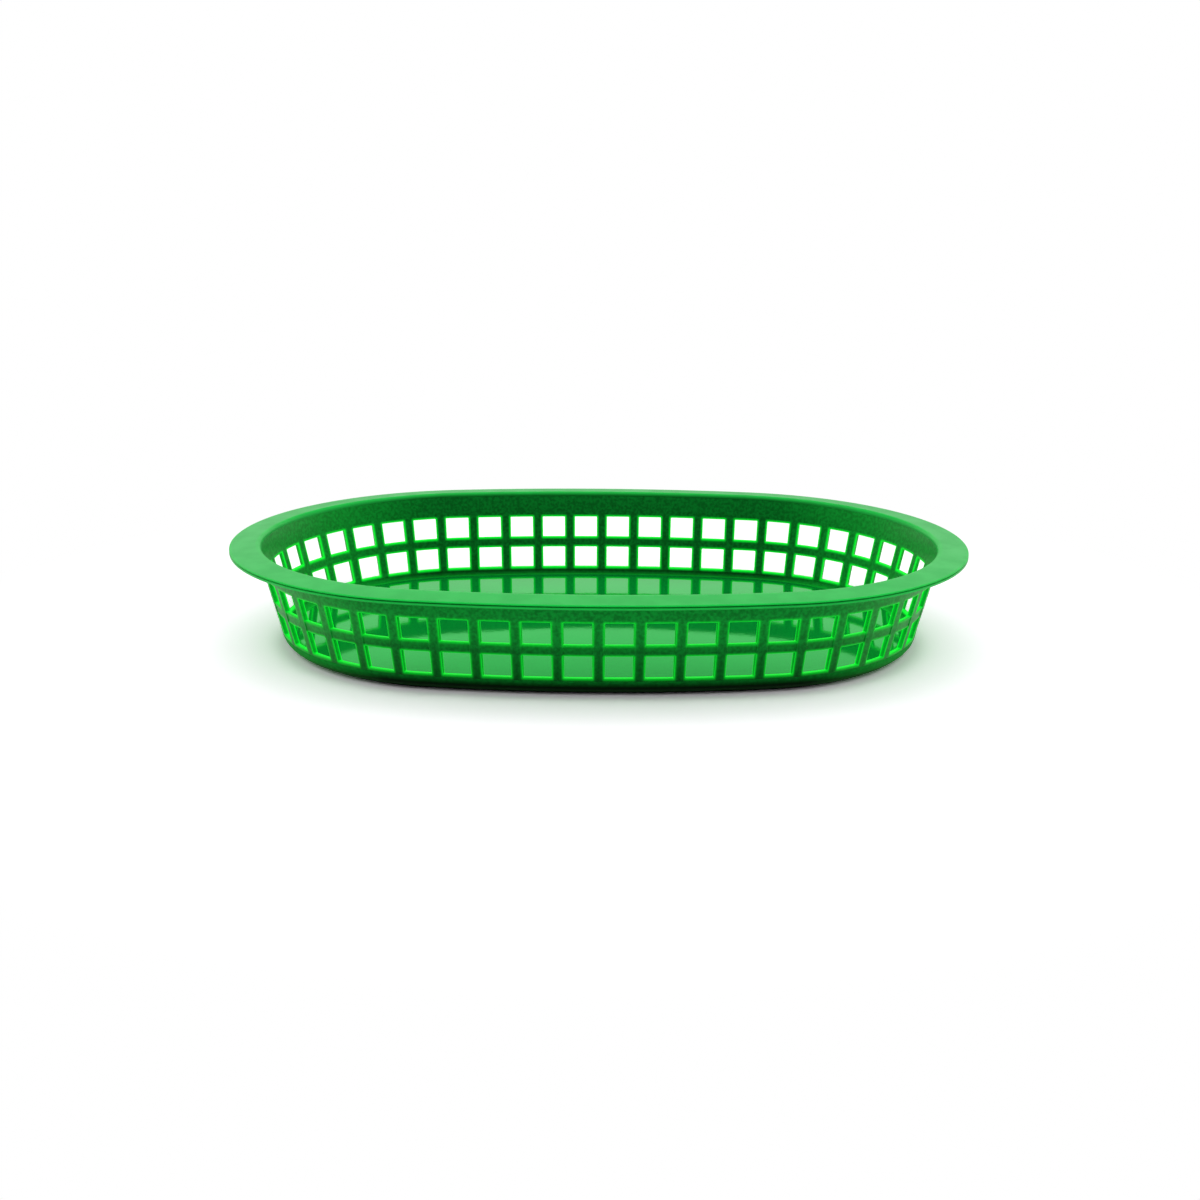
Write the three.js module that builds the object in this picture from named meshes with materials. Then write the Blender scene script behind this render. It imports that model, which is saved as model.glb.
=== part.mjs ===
// Oval fast food basket, a thin-walled plastic moulding with two rows of windows.
// Millimetres, +Z up. The origin is on the table, under the middle of the basket.
import * as THREE from 'three';

// Plan of the rim's outer edge: two round ends joined by slightly bowed long sides
const LENGTH = 273;
const WIDTH = 184;
const SIDE_RADIUS = 392;

// Heights, from the table up
const HEIGHT = 38;
const FOOT_HEIGHT = 0.8;
const FLOOR_HEIGHT = 2.6; // underside of the floor's edge
const FLOOR_THICKNESS = 1.9;
const FLOOR_CROWN = 1.8; // rise of the floor's middle above its edge
const SILL_HEIGHT = 2.45; // floor's edge to the lower windows
const HOOP_HEIGHT = 4.2;
const COLLAR_DEPTH = 10.35; // top of the rim to the upper windows

// Wall: thickness is measured level, lean in degrees from upright
const WALL_THICKNESS = 1.8;
const WALL_LEAN = 13.6;
const BAR_COUNT = 48;
const BAR_WIDTH = 4.4;
const HOOP_SETBACK = 0.5; // bars stand this far proud of the hoop outside

// Rim: a flange that droops a little to a turned-down lip
const RIM_WIDTH = 11;
const RIM_THICKNESS = 1.4;
const RIM_DROOP = 0.9;
const RIM_ROOT = 1.2; // stub of wall under the flange
const LIP_HEIGHT = 1.7;
const LIP_THICKNESS = 1.4;
const LIP_ROUND = 0.5;
const MOUTH_ROUND = 1.2; // where the flange turns down into the basket

// Base: a rounded heel that reaches under the floor, a cove inside and a ring to stand on
const HEEL_RADIUS = 5;
const HEEL_WIDTH = 7.6; // foot of the wall's outer face to the heel's inner edge
const COVE_RADIUS = 1.5;
const FLOOR_MARGIN = 2.8; // foot of the wall's inner face to the floor plate
const FOOT_INSET = 3.9; // foot of the wall's outer face to the foot ring
const FOOT_WIDTH = 2.2;
const FOOT_DRAFT = 0.3;

// Facets
const STEPS_PER_WINDOW = 2;
const STEPS_PER_ROUND = 2;
const STEPS_PER_CROWN = 3;

const GREEN = 0x1fb043;

// Levels where the features of the wall meet
const floorTop = FLOOR_HEIGHT + FLOOR_THICKNESS;
const sill = floorTop + SILL_HEIGHT;
const collarBase = HEIGHT - COLLAR_DEPTH;
const windowHeight = (collarBase - sill - HOOP_HEIGHT) / 2;
const hoopBase = sill + windowHeight;
const hoopTop = hoopBase + HOOP_HEIGHT;
const rimBase = HEIGHT - RIM_THICKNESS - RIM_ROOT;

// Insets, inwards from the rim's outer edge, of the wall's faces at a height
const wallSlope = Math.tan(THREE.MathUtils.degToRad(WALL_LEAN));
const wallInside = (z) => RIM_WIDTH + (HEIGHT - z) * wallSlope;
const wallOutside = (z) => wallInside(z) - WALL_THICKNESS;
const hoopOutside = (z) => wallOutside(z) + HOOP_SETBACK;
const floorEdge = wallInside(floorTop) + FLOOR_MARGIN;
const heelEdge = wallOutside(FOOT_HEIGHT) + HEEL_WIDTH;

// The rim's edge is an oval of four arcs that meet tangentially
const halfLength = LENGTH / 2;
const halfWidth = WIDTH / 2;
const endRadius =
  (2 * SIDE_RADIUS * halfWidth - halfWidth ** 2 - halfLength ** 2) / (2 * (SIDE_RADIUS - halfLength));
const endCentre = halfLength - endRadius;
const sideCentre = SIDE_RADIUS - halfWidth;
const sideAngle = Math.atan2(endCentre, sideCentre);
const endAngle = Math.PI / 2 - sideAngle;

// The bars are spaced evenly along the oval at the hoop, in the middle of the wall
const barLine = (wallInside(hoopBase) + wallOutside(hoopTop)) / 2;
const endArc = (endRadius - barLine) * endAngle;
const sideArc = (SIDE_RADIUS - barLine) * sideAngle;
const halfRound = 2 * (endArc + sideArc);
const barPitch = (2 * halfRound) / BAR_COUNT;

// A station is a point on the rim's edge and the outward direction there.
// travel is the distance along the bar line from the +X end, turning towards +Y.
function station(travel) {
  const distance = (travel + 2 * halfRound) % (2 * halfRound);
  const along = distance % halfRound;
  let heading = Math.PI - (halfRound - along) / (endRadius - barLine);
  if (along < endArc) {
    heading = along / (endRadius - barLine);
  } else if (along < endArc + 2 * sideArc) {
    heading = endAngle + (along - endArc) / (SIDE_RADIUS - barLine);
  }
  if (distance >= halfRound) {
    heading += Math.PI;
  }
  const out = new THREE.Vector2(Math.cos(heading), Math.sin(heading));
  const edge = out.clone();
  if (Math.abs(out.x) < Math.sin(sideAngle)) {
    edge.multiplyScalar(SIDE_RADIUS);
    edge.y -= Math.sign(out.y) * sideCentre;
  } else {
    edge.multiplyScalar(endRadius);
    edge.x += Math.sign(out.x) * endCentre;
  }
  return { edge, out };
}

function pointAt({ edge, out }, inset, z) {
  return new THREE.Vector3(edge.x - inset * out.x, edge.y - inset * out.y, z);
}

// Stations of each bar's two sides, and of all rings: bar sides with steps between
const barSides = [];
const ringStations = [];
for (let bar = 0; bar < BAR_COUNT; bar++) {
  const from = bar * barPitch - BAR_WIDTH / 2;
  const to = from + BAR_WIDTH;
  const step = (barPitch - BAR_WIDTH) / STEPS_PER_WINDOW;
  barSides.push([station(from), station(to)]);
  ringStations.push(station(from));
  for (let i = 0; i < STEPS_PER_WINDOW; i++) {
    ringStations.push(station(to + i * step));
  }
}

// A closed profile of corners [inset, z, radius]: a radius rounds its corner, as far as
// half of the shorter side beside it.
function profile(corners) {
  const points = corners.map(([inset, z]) => new THREE.Vector2(inset, z));
  return corners.flatMap(([, , radius = 0], i) => {
    const corner = points[i];
    const before = points.at(i - 1).clone().sub(corner);
    const after = points[(i + 1) % points.length].clone().sub(corner);
    const reach = Math.min(before.length(), after.length()) / 2;
    const setback = Math.min(radius / Math.tan(before.angleTo(after) / 2), reach);
    if (setback === 0) {
      return [corner];
    }
    const start = corner.clone().addScaledVector(before.normalize(), setback);
    const end = corner.clone().addScaledVector(after.normalize(), setback);
    return new THREE.QuadraticBezierCurve(start, corner, end).getPoints(STEPS_PER_ROUND);
  });
}

// A profile turned all round the basket: a lathe whose circles are moved to the oval.
// The profile runs up the outer side, inwards, down the inner side and back.
function ring(corners) {
  const outline = profile(corners);
  const closed = [...outline, outline[0]];
  const geometry = new THREE.LatheGeometry(closed, ringStations.length);
  const position = geometry.getAttribute('position');
  for (let i = 0; i < position.count; i++) {
    const round = Math.floor(i / closed.length) % ringStations.length;
    const { x: inset, y: z } = closed[i % closed.length];
    position.setXYZ(i, ...pointAt(ringStations[round], inset, z));
  }
  return geometry;
}

// A profile carried straight from one station to the next, for a bar of the wall.
function straightBar(corners, [from, to]) {
  const shape = new THREE.Shape(profile(corners).map(({ x, y }) => new THREE.Vector2(-x, y)));
  const geometry = new THREE.ExtrudeGeometry(shape, { depth: 1, bevelEnabled: false });
  const position = geometry.getAttribute('position');
  for (let i = 0; i < position.count; i++) {
    const side = position.getZ(i) > 0 ? from : to;
    position.setXYZ(i, ...pointAt(side, -position.getX(i), position.getY(i)));
  }
  return geometry;
}

// A plate that rises by its crown towards the middle: a sphere whose upper half is moved to
// the plate's upper face and whose lower half to its lower face.
function crownedPlate(inset, z, thickness, crown) {
  const outline = ringStations.map((at) => pointAt(at, inset, z));
  const lastRow = 2 * STEPS_PER_CROWN + 1;
  const geometry = new THREE.SphereGeometry(1, outline.length, lastRow);
  const position = geometry.getAttribute('position');
  for (let i = 0; i < position.count; i++) {
    const row = Math.floor(i / (outline.length + 1));
    const isUpper = row <= STEPS_PER_CROWN;
    const reach = (isUpper ? row : lastRow - row) / STEPS_PER_CROWN;
    const edge = outline[(i % (outline.length + 1)) % outline.length];
    const rise = crown * (1 - reach ** 2) + (isUpper ? thickness : 0);
    position.setXYZ(i, edge.x * reach, edge.y * reach, z + rise);
  }
  return geometry;
}

const basket = new THREE.Group();

function addPiece(name, geometry, roughness) {
  geometry.computeVertexNormals();
  const plastic = new THREE.MeshStandardMaterial({ color: GREEN, roughness, metalness: 0 });
  const piece = new THREE.Mesh(geometry, plastic);
  piece.name = name;
  basket.add(piece);
}

// Rim: lip, drooping flange, rounded mouth and a stub of wall
function rimFlange() {
  const edgeTop = HEIGHT - RIM_DROOP;
  const underside = (inset) => edgeTop + (RIM_DROOP * inset) / RIM_WIDTH - RIM_THICKNESS;
  const rootTop = underside(wallOutside(HEIGHT - RIM_THICKNESS));
  return ring([
    [0, edgeTop - LIP_HEIGHT, LIP_ROUND],
    [0, edgeTop, LIP_ROUND],
    [RIM_WIDTH, HEIGHT, MOUTH_ROUND],
    [wallInside(rimBase), rimBase],
    [wallOutside(rimBase), rimBase],
    [wallOutside(rootTop), rootTop],
    [LIP_THICKNESS, underside(LIP_THICKNESS)],
    [LIP_THICKNESS, edgeTop - LIP_HEIGHT],
  ]);
}

// A plain band of the wall between two heights
function wallBand(outside, bottom, top) {
  return ring([
    [outside(bottom), bottom],
    [outside(top), top],
    [wallInside(top), top],
    [wallInside(bottom), bottom],
  ]);
}

// Bars run from the base band to the collar, halved inside where the hoop crosses
const barCorners = [
  [wallOutside(sill), sill],
  [wallOutside(collarBase), collarBase],
  [wallInside(collarBase), collarBase],
  [wallInside(hoopTop), hoopTop],
  [hoopOutside(hoopTop), hoopTop],
  [hoopOutside(hoopBase), hoopBase],
  [wallInside(hoopBase), hoopBase],
  [wallInside(sill), sill],
];

// Base band: heel, the sill under the lower windows, the cove into the floor, and the shelf
// under the floor's edge
function baseBand() {
  return ring([
    [wallOutside(FOOT_HEIGHT), FOOT_HEIGHT, HEEL_RADIUS],
    [wallOutside(sill), sill],
    [wallInside(sill), sill],
    [wallInside(floorTop), floorTop, COVE_RADIUS],
    [floorEdge, floorTop],
    [floorEdge, FLOOR_HEIGHT],
    [heelEdge, FLOOR_HEIGHT],
    [heelEdge, FOOT_HEIGHT],
  ]);
}

function footRing() {
  const outer = wallOutside(FOOT_HEIGHT) + FOOT_INSET;
  const inner = outer + FOOT_WIDTH;
  return ring([
    [outer + FOOT_DRAFT, 0],
    [outer, FOOT_HEIGHT],
    [inner, FOOT_HEIGHT],
    [inner - FOOT_DRAFT, 0],
  ]);
}

addPiece('rim_flange', rimFlange(), 0.4);
addPiece('collar', wallBand(wallOutside, collarBase, rimBase), 0.35);
addPiece('mid_hoop', wallBand(hoopOutside, hoopBase, hoopTop), 0.35);
addPiece('base_band', baseBand(), 0.35);
addPiece('floor_plate', crownedPlate(floorEdge, FLOOR_HEIGHT, FLOOR_THICKNESS, FLOOR_CROWN), 0.15);
addPiece('foot_ring', footRing(), 0.35);
barSides.forEach((sides, i) => {
  const number = String(i + 1).padStart(2, '0');
  addPiece(`upright_${number}`, straightBar(barCorners, sides), 0.35);
});

export default basket;
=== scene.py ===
import math

import bmesh
import bpy
from mathutils import Matrix, Vector


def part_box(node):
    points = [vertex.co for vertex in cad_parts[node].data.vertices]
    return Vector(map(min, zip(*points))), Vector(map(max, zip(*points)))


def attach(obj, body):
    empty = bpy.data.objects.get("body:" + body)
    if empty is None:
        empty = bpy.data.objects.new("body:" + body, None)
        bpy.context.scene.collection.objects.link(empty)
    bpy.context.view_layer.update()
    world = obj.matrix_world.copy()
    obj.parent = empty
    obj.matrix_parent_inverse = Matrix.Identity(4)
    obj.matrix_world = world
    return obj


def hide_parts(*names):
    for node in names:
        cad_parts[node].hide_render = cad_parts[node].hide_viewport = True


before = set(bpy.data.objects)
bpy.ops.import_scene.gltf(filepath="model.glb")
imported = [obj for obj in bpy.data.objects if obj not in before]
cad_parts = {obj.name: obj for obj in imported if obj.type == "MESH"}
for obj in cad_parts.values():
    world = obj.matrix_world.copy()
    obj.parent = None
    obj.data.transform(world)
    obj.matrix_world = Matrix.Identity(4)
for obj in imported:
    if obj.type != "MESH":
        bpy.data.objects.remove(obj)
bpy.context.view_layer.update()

# Camera. It looks along the short way of the basket from a little above the rim, half a
# metre off. The picture was trimmed, so its middle lies a little off the lens's axis.
MM = 0.001  # sizes and places are written in millimetres
CAMERA_PLACE = Vector((3.5, -548.7, 168.6))
CAMERA_LENS = 45.0
CAMERA_SENSOR = 36  # width
CAMERA_TILT = 16.43  # degrees below level
CAMERA_TURN = 0.905  # degrees to the right
CAMERA_ROLL = 0.67  # degrees anticlockwise
PICTURE_SHIFT = (-0.0268, 0.0131)  # shares of the picture's width

camera = bpy.data.objects.new("camera", bpy.data.cameras.new("camera"))
camera.data.sensor_width = CAMERA_SENSOR
camera.data.lens = CAMERA_LENS
camera.data.shift_x, camera.data.shift_y = PICTURE_SHIFT
camera.matrix_world = (
    Matrix.Translation(CAMERA_PLACE * MM)
    @ Matrix.Rotation(math.radians(-CAMERA_TURN), 4, "Z")
    @ Matrix.Rotation(math.radians(90 - CAMERA_TILT), 4, "X")
    @ Matrix.Rotation(math.radians(CAMERA_ROLL), 4, "Z")
)
bpy.context.scene.collection.objects.link(camera)
bpy.context.scene.camera = camera
bpy.context.scene.view_settings.view_transform = "Standard"

# Studio. A white table in a soft tent of light that is brightest overhead and at both sides,
# with a white backdrop behind that fades upwards, and a dark room round the camera.
TABLE_SIZE = 6000
TABLE_FADE = (120, 270)  # distances from the middle where the lit table turns plain white
TABLE_SHOWN = (1.29, 1.24, 1.3, 1)  # as the eye sees it, over-exposed to white
TABLE_BOUNCE = (0.8, 0.8, 0.8, 1)  # as it lights the basket
TENT = 1.4  # brightness overhead
TENT_RISE = (0.3, 0.9)  # sines of the elevations where its light starts and is full
SIDES = 0.97  # brightness at the left and right, on top of the tent's
SIDE_REACH = (0.2, 0.8)  # squared sideways shares of a direction where it starts and is full
BACKDROP_FRONT = (0, 0.5)  # backward shares of a direction where it starts and is full
BACKDROP_PALE = (0.05, 0.21)  # sines of the elevations between which it gets whiter
BACKDROP_WHITE = (0.35, 1.0)  # how white it is at each of them
BACKDROP_TOP = (0.28, 0.6)  # sines of the elevations where its white starts and stops to fade
ROOM = 0.06  # brightness of the room, seen in gloss
WHITE = (1, 1, 1, 1)
MIXED = 2  # output of a Mix node for colours


def add(tree, kind, inputs=None, **settings):
    """Adds a node. An input given as a socket is linked, and any other value is set."""
    node = tree.nodes.new(kind)
    for name, value in settings.items():
        setattr(node, name, value)
    sockets = {socket.identifier: socket for socket in node.inputs}
    for name, value in (inputs or {}).items():
        if isinstance(value, bpy.types.NodeSocket):
            tree.links.new(value, sockets[name])
        else:
            sockets[name].default_value = value
    return node


def seen(tree):
    """1 where the eye, a gloss or a clear body looks, 0 where light is only gathered"""
    path = add(tree, "ShaderNodeLightPath").outputs
    mirrored = add(tree, "ShaderNodeMath", {
        "Value": path["Is Glossy Ray"],
        "Value_001": path["Is Transmission Ray"],
    }, operation="MAXIMUM")
    return add(tree, "ShaderNodeMath", {
        "Value": path["Is Camera Ray"],
        "Value_001": mirrored.outputs[0],
    }, operation="MAXIMUM").outputs[0]


def studio_world():
    """The tent as it lights things, and the backdrop and the room as the eye and a gloss see them"""
    world = bpy.data.worlds.new("studio")
    world.use_nodes = True
    tree = world.node_tree
    tree.nodes.clear()
    direction = add(tree, "ShaderNodeTexCoord").outputs["Generated"]
    axes = add(tree, "ShaderNodeSeparateXYZ", {"Vector": direction}).outputs
    overhead = add(tree, "ShaderNodeMapRange", {
        "Value": axes["Z"],
        "From Min": TENT_RISE[0],
        "From Max": TENT_RISE[1],
        "To Max": TENT,
    }, interpolation_type="SMOOTHSTEP")
    sideways = add(tree, "ShaderNodeMath", {
        "Value": axes["X"],
        "Value_001": axes["X"],
    }, operation="MULTIPLY")
    sides = add(tree, "ShaderNodeMapRange", {
        "Value": sideways.outputs[0],
        "From Min": SIDE_REACH[0],
        "From Max": SIDE_REACH[1],
        "To Max": SIDES,
    }, interpolation_type="SMOOTHSTEP")
    tent = add(tree, "ShaderNodeMath", {
        "Value": overhead.outputs[0],
        "Value_001": sides.outputs[0],
    }, operation="ADD")
    white = add(tree, "ShaderNodeMapRange", {
        "Value": axes["Z"],
        "From Min": BACKDROP_PALE[0],
        "From Max": BACKDROP_PALE[1],
        "To Min": BACKDROP_WHITE[0],
        "To Max": BACKDROP_WHITE[1],
    }, interpolation_type="SMOOTHSTEP")
    behind = add(tree, "ShaderNodeMapRange", {
        "Value": axes["Y"],
        "From Min": BACKDROP_FRONT[0],
        "From Max": BACKDROP_FRONT[1],
        "To Min": ROOM,
        "To Max": white.outputs[0],
    }, interpolation_type="SMOOTHSTEP")
    backdrop = add(tree, "ShaderNodeMapRange", {
        "Value": axes["Z"],
        "From Min": BACKDROP_TOP[0],
        "From Max": BACKDROP_TOP[1],
        "To Min": behind.outputs[0],
        "To Max": ROOM,
    }, interpolation_type="SMOOTHSTEP")
    shown = add(tree, "ShaderNodeMath", {
        "Value": backdrop.outputs[0],
        "Value_001": add(tree, "ShaderNodeLightPath").outputs["Is Camera Ray"],
    }, operation="MAXIMUM")
    strength = add(tree, "ShaderNodeMapRange", {
        "Value": seen(tree),
        "To Min": tent.outputs[0],
        "To Max": shown.outputs[0],
    })
    light = add(tree, "ShaderNodeBackground", {"Strength": strength.outputs[0], "Color": WHITE})
    add(tree, "ShaderNodeOutputWorld", {"Surface": light.outputs[0]})
    return world


def table_material():
    """Matt white laminate, which shows soft shadows and no gloss. Far off it is plain white."""
    material = bpy.data.materials.new("white_laminate_matt")
    material.use_nodes = True
    tree = material.node_tree
    tree.nodes.clear()
    place = add(tree, "ShaderNodeTexCoord").outputs["Object"]
    distance = add(tree, "ShaderNodeVectorMath", {"Vector": place}, operation="LENGTH")
    far = add(tree, "ShaderNodeMapRange", {
        "Value": distance.outputs["Value"],
        "From Min": TABLE_FADE[0] * MM,
        "From Max": TABLE_FADE[1] * MM,
    }, interpolation_type="SMOOTHSTEP")
    eye = add(tree, "ShaderNodeLightPath").outputs["Is Camera Ray"]
    plain = add(tree, "ShaderNodeMath", {
        "Value": far.outputs[0],
        "Value_001": eye,
    }, operation="MULTIPLY")
    exposed = add(tree, "ShaderNodeMix", {
        "Factor_Float": eye,
        "A_Color": TABLE_BOUNCE,
        "B_Color": TABLE_SHOWN,
    }, data_type="RGBA")
    lit = add(tree, "ShaderNodeBsdfDiffuse", {"Color": exposed.outputs[MIXED]})
    white = add(tree, "ShaderNodeEmission", {"Color": WHITE})
    surface = add(tree, "ShaderNodeMixShader", {
        "Fac": plain.outputs[0],
        "Shader": lit.outputs[0],
        "Shader_001": white.outputs[0],
    })
    add(tree, "ShaderNodeOutputMaterial", {"Surface": surface.outputs[0]})
    return material


def make_object(name, bm, material):
    mesh = bpy.data.meshes.new(name)
    bm.to_mesh(mesh)
    bm.free()
    mesh.materials.append(material)
    piece = bpy.data.objects.new(name, mesh)
    bpy.context.scene.collection.objects.link(piece)
    return piece


bpy.context.scene.world = studio_world()
table = bmesh.new()
bmesh.ops.create_grid(table, x_segments=1, y_segments=1, size=TABLE_SIZE * MM / 2)
make_object("table", table, table_material())

# Floor plate. The closed oval bottom of the basket, a little higher in the middle, of green
# polypropylene and moulded in one with the wall. It is as glossy as the polished mould that
# it came from, so it mirrors the wall.
LENGTH = 273  # of the rim's outer edge
WIDTH = 184
SIDE_RADIUS = 392  # bow of the long sides of that edge
FLOOR_THICKNESS = 1.9
CROWN_STEPS = 12  # from the middle to the edge
SPACING_INSET = 15  # middle of the wall, where distances round the basket are measured
WINDOW_COUNT = 48
STEPS = 8 * WINDOW_COUNT  # round the basket
SEAM_GAP = 0.02  # within which the two ends of a closed strip are joined
END_SPAN = (72, 108)  # distances from the middle where the painted light at the ends starts and is full
END_PAINTED_LIGHT = 0.62  # how much of the painted shade is taken away there, as painted light
CLOUD_SPAN = (0.35, 0.65)  # of the noise, from clear to clouded
CLOUD_DETAIL = 4
GLOSS_SPREAD = 0.2  # share by which the roughness goes up and down with the clouds
RIPPLE_SIZE = 2.5
RIPPLE_HEIGHT = 0.02
RIPPLE_STRENGTH = 0.5
RIPPLE_DETAIL = 2
PLASTIC_IOR = 1.49
PAINTED_EDGE_GREEN = "#06ae26"  # painted edge light: the brighter green of thin edges
EDGE_ROUGHNESS = 0.6
PAINTED_GLOW_GREEN = "#06f930"  # of the painted light that thin edges give off, though they are no lamp
PAINTED_GLOW = 0.8  # its strength
BLACK = "#000000"
SMOOTH_ANGLE = 35  # degrees, past which an edge stays sharp

half_length = LENGTH / 2
half_width = WIDTH / 2
end_radius = (
    (2 * SIDE_RADIUS * half_width - half_width**2 - half_length**2)
    / (2 * (SIDE_RADIUS - half_length))
)
end_centre = half_length - end_radius
side_centre = SIDE_RADIUS - half_width
side_angle = math.atan2(end_centre, side_centre)
end_angle = math.pi / 2 - side_angle
end_arc = (end_radius - SPACING_INSET) * end_angle
side_arc = (SIDE_RADIUS - SPACING_INSET) * side_angle
half_round = 2 * (end_arc + side_arc)


def on_oval(distance, inset):
    """Plan point at a distance round the basket from the +X end, inset from the rim's edge"""
    turns, along = divmod(distance, half_round)
    if along < end_arc:
        heading = along / (end_radius - SPACING_INSET)
    elif along < end_arc + 2 * side_arc:
        heading = end_angle + (along - end_arc) / (SIDE_RADIUS - SPACING_INSET)
    else:
        heading = math.pi - (half_round - along) / (end_radius - SPACING_INSET)
    out = Vector((math.cos(heading), math.sin(heading)))
    if abs(out.x) < math.sin(side_angle):
        point = out * (SIDE_RADIUS - inset) - Vector((0, side_centre))
    else:
        point = out * (end_radius - inset) + Vector((math.copysign(end_centre, out.x), 0))
    return point * (-1) ** int(turns)


def bend(bm, painted_end_light=0):
    """Takes a strip laid out flat, as distance, inset and height, and closes it to the oval.
    Its ends get painted light: less painted shade, and as much painted edge light as the
    last argument gives."""
    painted_shades = bm.verts.layers.float["depth"]
    painted_glows = bm.verts.layers.float["painted_glow"]
    for vert in bm.verts:
        place = on_oval(vert.co.x, vert.co.y)
        endness = min(max((abs(place.x) - END_SPAN[0]) / (END_SPAN[1] - END_SPAN[0]), 0), 1)
        vert[painted_shades] *= 1 - END_PAINTED_LIGHT * endness
        vert[painted_glows] += painted_end_light * endness * (1 - vert[painted_glows])
        vert.co = place.to_3d() * MM + Vector((0, 0, vert.co.z * MM))
    bmesh.ops.remove_doubles(bm, verts=bm.verts, dist=SEAM_GAP * MM)
    bmesh.ops.recalc_face_normals(bm, faces=bm.faces)


def srgb(code):
    """Linear colour of an sRGB hex value"""
    parts = [int(code[i:i + 2], 16) / 255 for i in (1, 3, 5)]
    return [*(((part + 0.055) / 1.055) ** 2.4 if part > 0.04045 else part / 12.92 for part in parts), 1]


def polypropylene(
    name, body, shade_colour, cloud, cloud_size, roughness, mirror=0, shine=0.5, gleam="#28d84c"
):
    """Tinted polypropylene from a mould: a clear green that clouds a little where the melt flowed.
    A piece's depth attribute paints shade: where it is 1 the colour turns to the shade colour, a
    painted shade for hollows, undersides, the foot of the wall and other places in shade. Its
    second attribute paints light: thin edges turn a brighter green and give off green light, a
    painted edge light. On a polished plate a share of what it mirrors comes back from its lower
    face, tinted green: mirror."""
    material = bpy.data.materials.new(name)
    material.use_nodes = True
    tree = material.node_tree
    tree.nodes.clear()
    place = add(tree, "ShaderNodeTexCoord").outputs["Object"]
    depth = add(tree, "ShaderNodeAttribute", attribute_name="depth").outputs["Fac"]
    painted_glow = add(tree, "ShaderNodeAttribute", attribute_name="painted_glow").outputs["Fac"]
    clouds = add(tree, "ShaderNodeTexNoise", {
        "Vector": place,
        "Scale": 1 / (cloud_size * MM),
        "Detail": CLOUD_DETAIL,
    })
    flow = add(tree, "ShaderNodeMapRange", {
        "Value": clouds.outputs[0],
        "From Min": CLOUD_SPAN[0],
        "From Max": CLOUD_SPAN[1],
        "To Max": cloud,
    }, interpolation_type="SMOOTHSTEP")
    # Painted shade: the body colour darkened towards the shade colour by the depth attribute.
    shaded = add(tree, "ShaderNodeMix", {
        "Factor_Float": depth,
        "A_Color": srgb(body),
        "B_Color": srgb(shade_colour),
    }, data_type="RGBA")
    clouded = add(tree, "ShaderNodeMix", {
        "Factor_Float": flow.outputs[0],
        "A_Color": shaded.outputs[MIXED],
        "B_Color": srgb(BLACK),
    }, data_type="RGBA")
    # Painted edge light: thin edges get a brighter green, and give off green light though they are no
    # lamp.
    coloured = add(tree, "ShaderNodeMix", {
        "Factor_Float": painted_glow,
        "A_Color": clouded.outputs[MIXED],
        "B_Color": srgb(PAINTED_EDGE_GREEN),
    }, data_type="RGBA")
    painted_edge_light = add(tree, "ShaderNodeMix", {
        "Factor_Float": painted_glow,
        "A_Color": srgb(BLACK),
        "B_Color": srgb(PAINTED_GLOW_GREEN),
    }, data_type="RGBA")
    gloss = add(tree, "ShaderNodeMapRange", {
        "Value": clouds.outputs[0],
        "To Min": roughness * (1 - GLOSS_SPREAD),
        "To Max": roughness * (1 + GLOSS_SPREAD),
    })
    dulled = add(tree, "ShaderNodeMapRange", {
        "Value": painted_glow,
        "To Min": gloss.outputs[0],
        "To Max": EDGE_ROUGHNESS,
    })
    ripple = add(tree, "ShaderNodeTexNoise", {
        "Vector": place,
        "Scale": 1 / (RIPPLE_SIZE * MM),
        "Detail": RIPPLE_DETAIL,
    })
    bump = add(tree, "ShaderNodeBump", {
        "Height": ripple.outputs[0],
        "Distance": RIPPLE_HEIGHT * MM,
        "Strength": RIPPLE_STRENGTH,
    })
    plastic = add(tree, "ShaderNodeBsdfPrincipled", {
        "Base Color": coloured.outputs[MIXED],
        "Roughness": dulled.outputs[0],
        "Normal": bump.outputs[0],
        "IOR": PLASTIC_IOR,
        "Specular IOR Level": shine,
        "Specular Tint": srgb(gleam),
        "Metallic": mirror,
        "Emission Color": painted_edge_light.outputs[MIXED],
        "Emission Strength": PAINTED_GLOW,
    })
    add(tree, "ShaderNodeOutputMaterial", {"Surface": plastic.outputs[0]})
    return material


def smooth(piece):
    piece.data.shade_smooth()
    piece.data.set_sharp_from_angle(angle=math.radians(SMOOTH_ANGLE))
    return piece


def floor_plate():
    """A grid whose rows run over the upper face to the edge, and back under the lower face"""
    low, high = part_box("floor_plate")
    inset = half_width - high.y / MM
    crown = (high.z - low.z) / MM - FLOOR_THICKNESS
    last_row = 2 * CROWN_STEPS + 1
    bm = bmesh.new()
    bmesh.ops.create_grid(bm, x_segments=STEPS, y_segments=last_row, size=0.5)
    for vert in bm.verts:
        row = round((vert.co.y + 0.5) * last_row)
        upper = row <= CROWN_STEPS
        reach = (row if upper else last_row - row) / CROWN_STEPS
        rise = crown * (1 - reach**2) + (FLOOR_THICKNESS if upper else 0)
        place = on_oval((vert.co.x + 0.5) * 2 * half_round, inset) * reach
        vert.co = place.to_3d() * MM + Vector((0, 0, low.z + rise * MM))
    bmesh.ops.remove_doubles(bm, verts=bm.verts, dist=SEAM_GAP * MM)
    bmesh.ops.recalc_face_normals(bm, faces=bm.faces)
    return bm


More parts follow.
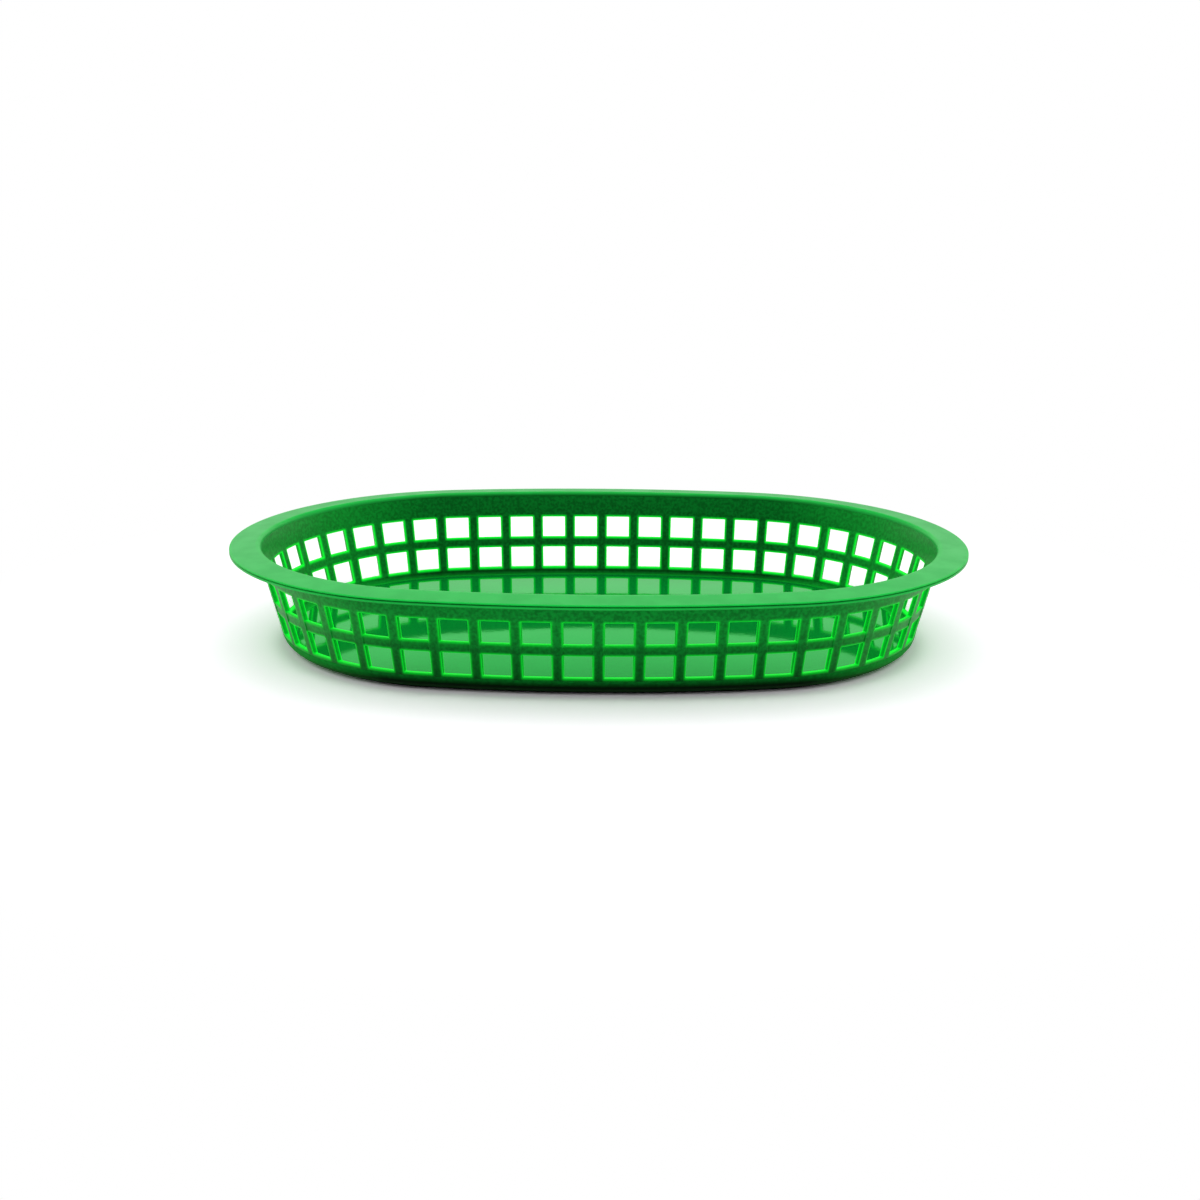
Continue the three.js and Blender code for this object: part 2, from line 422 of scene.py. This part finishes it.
# Polished: clear and mirror-smooth, with clouds so broad and weak that they hardly show.
FLOOR_PLASTIC = polypropylene(
    "polypropylene_polished", body="#06bc49", shade_colour="#067a2c", cloud=0.06, cloud_size=25,
    roughness=0.06, mirror=0.57, gleam="#b0f0bc",
)
floor = smooth(make_object("moulded_floor", floor_plate(), FLOOR_PLASTIC))
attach(floor, "root")
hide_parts("floor_plate")

# Foot ring. A low ring under the heel that the basket stands on. It is part of the same
# polypropylene moulding and tapers a little to leave the mould.
FOOT_WIDTH = 2.2
FOOT_DRAFT = 0.3
FOOT_ROUND = 0.3
ROUND_SEGMENTS = 5


def sweep(corners):
    """Carries an outline flat along the strip. A corner is its inset, its height, how far its
    rounding reaches, its painted shade and its painted edge light."""
    bm = bmesh.new()
    painted_shades = bm.verts.layers.float.new("depth")
    painted_glows = bm.verts.layers.float.new("painted_glow")
    verts = []
    for inset, height, reach, depth, painted_glow in corners:
        vert = bm.verts.new((0, inset, height))
        vert[painted_shades] = depth
        vert[painted_glows] = painted_glow
        verts.append(vert)
    bm.faces.new(verts)
    for vert, (inset, height, reach, depth, painted_glow) in zip(verts, corners):
        if reach:
            bmesh.ops.bevel(
                bm, geom=[vert], offset=reach, affect="VERTICES", segments=ROUND_SEGMENTS,
                profile=0.5, material=-1,
            )
    bmesh.ops.delete(bm, geom=bm.faces[:], context="FACES_ONLY")
    outline = bm.verts[:] + bm.edges[:]
    step = (2 * half_round / STEPS, 0, 0)
    bmesh.ops.spin(bm, geom=outline, dvec=step, axis=(0, 0, 1), steps=STEPS)
    return bm


def foot_ring():
    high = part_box("foot_ring")[1] / MM
    outer = half_width - high.y
    inner = outer + FOOT_WIDTH
    # Every corner paints the ring in the base's near-black shade colour: a painted shadow under the
    # heel.
    bm = sweep([
        (outer + FOOT_DRAFT, 0, FOOT_ROUND, 1, 0),
        (outer, high.z, 0, 1, 0),
        (inner, high.z, 0, 1, 0),
        (inner - FOOT_DRAFT, 0, FOOT_ROUND, 1, 0),
    ])
    bend(bm)
    return bm


# Matt: almost no gloss, and a grain that is drawn coarse enough to show. Its body green is
# darker than the rim's, painted shade, and its shade colour is near black, painted shadow
# under the heel and on the foot ring.
BASE_PLASTIC = polypropylene(
    "polypropylene_matt", body="#14aa3c", shade_colour="#010a03", cloud=0.3, cloud_size=1.4,
    roughness=0.55, shine=0.08,
)
foot = smooth(make_object("moulded_foot", foot_ring(), BASE_PLASTIC))
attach(foot, "root")
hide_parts("foot_ring")

# Base band. The plain foot of the wall under the lower windows, of the same polypropylene,
# with a rounded heel outside and a cove inside where it turns into the floor, moulded in one
# with both.
HEIGHT = 38
RIM_WIDTH = 11
WALL_LEAN = 13.6  # degrees
WALL_THICKNESS = 1.8  # measured level
BASE_SEAM = 5.8  # height where the plain band passes into the windowed wall
HEEL_REACH = 3.8  # how far the heel's rounding reaches up and under
HEEL_WIDTH = 7.6  # foot of the wall's outer face to the heel's inner edge
HEEL_HEIGHTS = (2.4, 4)  # heights between which the heel's painted shadow fades from black to the top's painted shade
HEEL_PAINTED_SHADOW = 1.8  # painted shadow, past 1, so that the heel is black well before it turns under
# painted shade on the top of the heel
HEEL_TOP_PAINTED_SHADE = 0.46
COVE_REACH = 1.2
BASE_PAINTED_SHADE = 0.45  # painted shade, as dark as that painted on the foot of the wall above it
# painted shade inside the band and in the cove
BASE_INSIDE_PAINTED_SHADE = 0.75
JOINT_PAINTED_HIGHLIGHT = 0.2  # painted highlight where it meets the floor
BASE_END_PAINTED_LIGHT = 0.075  # painted light at its ends

wall_slope = math.tan(math.radians(WALL_LEAN))


def wall_inside(height):
    """Inset of the wall's inner face"""
    return RIM_WIDTH + (HEIGHT - height) * wall_slope


def base_band():
    floor_low, floor_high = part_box("floor_plate")
    floor_inset = half_width - floor_high.y / MM
    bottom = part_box("base_band")[0].z / MM
    shelf = floor_low.z / MM
    top = shelf + FLOOR_THICKNESS
    outer = wall_inside(bottom) - WALL_THICKNESS
    bm = sweep([
        (outer, bottom, HEEL_REACH, HEEL_PAINTED_SHADOW, 0),
        (wall_inside(BASE_SEAM) - WALL_THICKNESS, BASE_SEAM, 0, BASE_PAINTED_SHADE, 0),
        (wall_inside(BASE_SEAM), BASE_SEAM, 0, BASE_INSIDE_PAINTED_SHADE, 0),
        (wall_inside(top), top, COVE_REACH, BASE_INSIDE_PAINTED_SHADE, 0),
        (floor_inset, top, 0, BASE_INSIDE_PAINTED_SHADE, JOINT_PAINTED_HIGHLIGHT),
        (floor_inset, shelf, 0, HEEL_PAINTED_SHADOW, 0),
        (outer + HEEL_WIDTH, shelf, 0, HEEL_PAINTED_SHADOW, 0),
        (outer + HEEL_WIDTH, bottom, 0, HEEL_PAINTED_SHADOW, 0),
    ])
    painted_shades = bm.verts.layers.float["depth"]
    low, high = HEEL_HEIGHTS
    # The heel's painted shadow: black low down, lightening to the painted shade of its top.
    for vert in bm.verts:
        on_heel = vert[painted_shades] > 1
        if on_heel:
            turned = min(max((high - vert.co.z) / (high - low), 0), 1)
            vert[painted_shades] = HEEL_TOP_PAINTED_SHADE + (HEEL_PAINTED_SHADOW - HEEL_TOP_PAINTED_SHADE) * turned
    bend(bm, BASE_END_PAINTED_LIGHT)
    return bm


base = smooth(make_object("moulded_base", base_band(), BASE_PLASTIC))
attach(base, "root")
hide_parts("base_band")

# Open wall. Forty-eight bars and the hoop across them leave two rows of windows between the
# base band and the collar under the rim. All of it is one polypropylene moulding, with the
# bars a little proud of the hoop outside.
BAR_WIDTH = 4.4
HOOP_SETBACK = 0.3
WINDOW_DRAFT = 0.3  # how much a window widens at each side from inside to outside
CORNER_RADIUS = 0.25
CORNER_SEGMENTS = 3
EDGE_ROUND = 0.2
EDGE_SEGMENTS = 2
SHARP_ANGLE = 0.8  # radians, past which an edge is rounded
ACROSS = 0.8  # least share of an edge's direction that makes it one through the wall
PAINTED_GLOW_REACH = 1.1  # how far the painted edge light of a window spreads into the wall
PAINTED_GLOW_BEND = 0.65  # where it has lost most of its strength
PAINTED_GLOW_FALL = 1.2  # how steeply it fades inside, and by 1 more outside
SILL_SHARE = 0.65  # of the distance counted below a sill outside, where it spreads further
EDGE_BAND = 0.5  # width of the painted bright edge on the sides of a window
INNER_PAINTED_GLOW = 1.0  # painted edge light of a window's inner edges
SILL_PAINTED_GLOW = 0.56  # painted edge light of the outer edges of sills
OUTER_PAINTED_GLOW = 0.72  # painted edge light of its other outer edges
SIDE_PAINTED_GLOW = (0.42, 0.06)  # painted light on its sides between the edges, inside and outside
SIDE_PAINTED_SHADE = 0.5  # painted shade on those sides
ON_SIDE = 0.05  # within which a point counts as on such a side, or on a bay's end
PAINTED_SHADE_SPAN = (11, 24)  # heights between which the painted shade outside fades out going up, darker towards the bottom
INSIDE_PAINTED_SHADE = 0.6  # painted shade on the inner faces
WALL_END_PAINTED_LIGHT = 0.045  # painted light at its ends
WALL_SEAM = 36.3  # height where the wall passes into the rim


pitch = 2 * half_round / WINDOW_COUNT
half_window = (pitch - BAR_WIDTH) / 2
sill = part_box("base_band")[1].z / MM
hoop_low, hoop_high = (corner.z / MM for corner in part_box("mid_hoop"))
collar_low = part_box("collar")[0].z / MM
windows = [(sill, hoop_low), (hoop_high, collar_low)]


def flat_bay():
    """One bay of the wall as a flat sheet, from bar middle to bar middle, with its windows open"""
    columns = [-pitch / 2, -half_window - PAINTED_GLOW_REACH, -half_window - PAINTED_GLOW_BEND]
    columns += [-half_window, -half_window / 3]  # the last lets a sill follow the oval
    columns += [-column for column in reversed(columns)]
    rows = [BASE_SEAM, sill - PAINTED_GLOW_BEND, sill]
    rows += [hoop_low, hoop_low + PAINTED_GLOW_BEND, hoop_low + PAINTED_GLOW_REACH]
    rows += [hoop_high - PAINTED_GLOW_REACH, hoop_high - PAINTED_GLOW_BEND, hoop_high]
    rows += [collar_low, collar_low + PAINTED_GLOW_BEND, collar_low + PAINTED_GLOW_REACH, WALL_SEAM]
    bm = bmesh.new()
    bmesh.ops.create_grid(bm, x_segments=len(columns) - 1, y_segments=len(rows) - 1, size=0.5)
    for vert in bm.verts:
        column = round((vert.co.x + 0.5) * (len(columns) - 1))
        row = round((vert.co.y + 0.5) * (len(rows) - 1))
        vert.co = Vector((columns[column], 0, rows[row]))
    open_faces = [
        face for face in bm.faces
        if abs(face.calc_center_median().x) < half_window
        and any(low < face.calc_center_median().z < high for low, high in windows)
    ]
    bmesh.ops.delete(bm, geom=open_faces, context="FACES")
    return bm


def widening(across):
    """How much wider a window is at each side, part of the way through the wall"""
    return WINDOW_DRAFT * across / WALL_THICKNESS


def raise_faces(bm, faces, depth):
    """Thickens the wall outwards, along Y, under some of its faces, and gives the raised ones"""
    edges = list(dict.fromkeys(edge for face in faces for edge in face.edges))
    raised = bmesh.ops.extrude_face_region(bm, geom=faces + edges)["geom"]
    verts = [part for part in raised if isinstance(part, bmesh.types.BMVert)]
    bmesh.ops.translate(bm, verts=verts, vec=(0, depth, 0))
    return [part for part in raised if isinstance(part, bmesh.types.BMFace)]


def thicken_bay(bm):
    """Makes the sheet as thick as the wall, with its bars proud and its windows drafted"""
    outer = raise_faces(bm, bm.faces[:], EDGE_BAND)
    outer = raise_faces(bm, outer, WALL_THICKNESS - HOOP_SETBACK - EDGE_BAND)
    proud = []
    for face in outer:
        middle = face.calc_center_median()
        if abs(middle.x) > half_window or not hoop_low < middle.z < hoop_high:
            proud.append(face)
    raise_faces(bm, proud, HOOP_SETBACK)
    ends = [
        face for face in bm.faces
        if all(abs(abs(vert.co.x) - pitch / 2) < ON_SIDE for vert in face.verts)
    ]
    bmesh.ops.delete(bm, geom=ends, context="FACES")
    bmesh.ops.recalc_face_normals(bm, faces=bm.faces)
    for vert in bm.verts:
        if abs(abs(vert.co.x) - half_window) < ON_SIDE:
            vert.co.x += math.copysign(widening(vert.co.y), vert.co.x)


def round_bay(bm):
    """Rounds the corners of the windows, and then every outer edge of the bay"""
    corners = []
    for edge in bm.edges:
        run = (edge.verts[1].co - edge.verts[0].co).normalized()
        if abs(run.y) > ACROSS and edge.calc_face_angle(0) > SHARP_ANGLE:
            corners.append(edge)
    bmesh.ops.bevel(
        bm, geom=corners, offset=CORNER_RADIUS, affect="EDGES", segments=CORNER_SEGMENTS,
        profile=0.5, material=-1,
    )
    outlines = [
        edge for edge in bm.edges
        if edge.is_convex and edge.calc_face_angle(0) > SHARP_ANGLE
    ]
    bmesh.ops.bevel(
        bm, geom=outlines, offset=EDGE_ROUND, affect="EDGES", segments=EDGE_SEGMENTS,
        profile=0.5, material=-1,
    )


def beyond(place, low, high):
    """Distance from a point of the wall to a window's opening"""
    aside = abs(place.x) - half_window - widening(place.y)
    below = (low - place.z) * (1 + (SILL_SHARE - 1) * place.y / WALL_THICKNESS)
    return math.hypot(max(aside, 0), max(below, place.z - high, 0))


def light_bay(bm):
    """Paints shade and edge light into each point of the bay"""
    painted_shades = bm.verts.layers.float.new("depth")
    painted_glows = bm.verts.layers.float.new("painted_glow")
    for vert in bm.verts:
        nearest = min(beyond(vert.co, *window) for window in windows)
        on_sill = any(low - PAINTED_GLOW_REACH < vert.co.z < low + EDGE_ROUND for low, high in windows)
        between = EDGE_BAND - EDGE_ROUND / 2 < vert.co.y < WALL_THICKNESS - EDGE_ROUND
        outwards = vert.co.y / WALL_THICKNESS
        lowness = min(max((PAINTED_SHADE_SPAN[1] - vert.co.z) / (PAINTED_SHADE_SPAN[1] - PAINTED_SHADE_SPAN[0]), 0), 1)
        # Window sides get painted light and painted shade. Elsewhere painted light fades out from the
        # windows' edges, and painted shade covers the inner faces and the outside towards the bottom.
        if nearest < ON_SIDE and between and not on_sill:
            vert[painted_glows] = SIDE_PAINTED_GLOW[0] + (SIDE_PAINTED_GLOW[1] - SIDE_PAINTED_GLOW[0]) * outwards
            vert[painted_shades] = SIDE_PAINTED_SHADE
        else:
            painted_edge_glow = INNER_PAINTED_GLOW if outwards < 0.5 else SILL_PAINTED_GLOW if on_sill else OUTER_PAINTED_GLOW
            vert[painted_glows] = painted_edge_glow * max(0, 1 - nearest / PAINTED_GLOW_REACH) ** (PAINTED_GLOW_FALL + outwards)
            vert[painted_shades] = INSIDE_PAINTED_SHADE * (1 - outwards) + lowness * outwards


def open_wall():
    """The bays side by side, leaned as the wall is, and bent round the basket"""
    bm = flat_bay()
    thicken_bay(bm)
    round_bay(bm)
    light_bay(bm)
    bay = bm.verts[:] + bm.edges[:] + bm.faces[:]
    for number in range(1, WINDOW_COUNT):
        copy = bmesh.ops.duplicate(bm, geom=bay)["geom"]
        verts = [part for part in copy if isinstance(part, bmesh.types.BMVert)]
        bmesh.ops.translate(bm, verts=verts, vec=(number * pitch, 0, 0))
    bmesh.ops.translate(bm, verts=bm.verts, vec=(pitch / 2, 0, 0))
    for vert in bm.verts:
        vert.co.y = wall_inside(vert.co.z) - vert.co.y
    bend(bm, WALL_END_PAINTED_LIGHT)
    return bm


# As moulded: half glossy, with a mottled grain that is drawn coarse enough to show. Its body
# green is darker than the rim's on the same plastic: painted shade.
WALL_PLASTIC = polypropylene(
    "polypropylene_moulded", body="#14a63c", shade_colour="#055c1e", cloud=0.42, cloud_size=1.1,
    roughness=0.34, shine=0.42,
)
wall = smooth(make_object("moulded_wall", open_wall(), WALL_PLASTIC))
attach(wall, "root")
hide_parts("collar", "mid_hoop", *(f"upright_{bar + 1:02}" for bar in range(WINDOW_COUNT)))

# Rim. The flange that the basket is held by, which droops a little to a turned-down lip and
# rounds over into the mouth. It is the top of the same polypropylene moulding, with a satin
# upper face and the mould's parting line round its lip.
RIM_THICKNESS = 1.4
RIM_DROOP = 0.9
LIP_HEIGHT = 1.7
LIP_THICKNESS = 1.4
LIP_ROUND = 0.3
LIP_PAINTED_SHADE = 0.5  # painted shade on the lower lip, under the flange's edge
MOUTH_ROUND = 1.2
PARTING_DROP = 0.65  # flange's edge to the parting line, a fine groove round the lip
PARTING_WIDTH = 0.5
PARTING_PAINTED_HIGHLIGHT = 0.07  # painted highlight on the strip under the parting line
RIM_EDGE_PAINTED_LIGHT = 0.115  # painted edge light on the thin edges of the flange
EDGE_FADE = 0.8  # how far it spreads over the upper face


def rim():
    edge_top = HEIGHT - RIM_DROOP
    lip_bottom = edge_top - LIP_HEIGHT
    parting = edge_top - PARTING_DROP
    mouth = RIM_WIDTH - MOUTH_ROUND - EDGE_FADE

    def top(inset):
        return edge_top + RIM_DROOP * inset / RIM_WIDTH

    def underside(inset):
        return top(inset) - RIM_THICKNESS

    root = underside(wall_inside(HEIGHT - RIM_THICKNESS) - WALL_THICKNESS)
    # The depth of each corner paints shade: full in the parting groove, under the flange and down the
    # mouth's inner face to the wall, half on the lower lip. Its last value paints light on the thin
    # edges and under the groove.
    bm = sweep([
        (0, lip_bottom, LIP_ROUND, LIP_PAINTED_SHADE, 0),
        (0, parting - PARTING_WIDTH, 0, 0, PARTING_PAINTED_HIGHLIGHT),
        (0, parting - PARTING_WIDTH / 2, 0, LIP_PAINTED_SHADE, 0),
        (PARTING_WIDTH, parting, 0, 1, 0),
        (0, parting + PARTING_WIDTH / 2, 0, 0, RIM_EDGE_PAINTED_LIGHT),
        (0, edge_top, LIP_ROUND, 0, RIM_EDGE_PAINTED_LIGHT),
        (LIP_ROUND + EDGE_FADE, top(LIP_ROUND + EDGE_FADE), 0, 0, 0),
        (mouth, top(mouth), 0, 0, 0),
        (RIM_WIDTH, HEIGHT, MOUTH_ROUND, 0, RIM_EDGE_PAINTED_LIGHT),
        (wall_inside(WALL_SEAM), WALL_SEAM, 0, 1, 0),
        (wall_inside(WALL_SEAM) - WALL_THICKNESS, WALL_SEAM, 0, 1, 0),
        (wall_inside(root) - WALL_THICKNESS, root, 0, 1, 0),
        (LIP_THICKNESS, underside(LIP_THICKNESS), 0, 1, 0),
        (LIP_THICKNESS, lip_bottom, LIP_ROUND, LIP_PAINTED_SHADE, 0),
    ])
    bend(bm)
    return bm


# Satin: a soft, pale gleam over weak clouds of flow.
RIM_PLASTIC = polypropylene(
    "polypropylene_satin", body="#16c84e", shade_colour="#066a22", cloud=0.08, cloud_size=9,
    roughness=0.36, gleam="#80e494",
)
rim_piece = smooth(make_object("moulded_rim", rim(), RIM_PLASTIC))
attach(rim_piece, "root")
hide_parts("rim_flange")
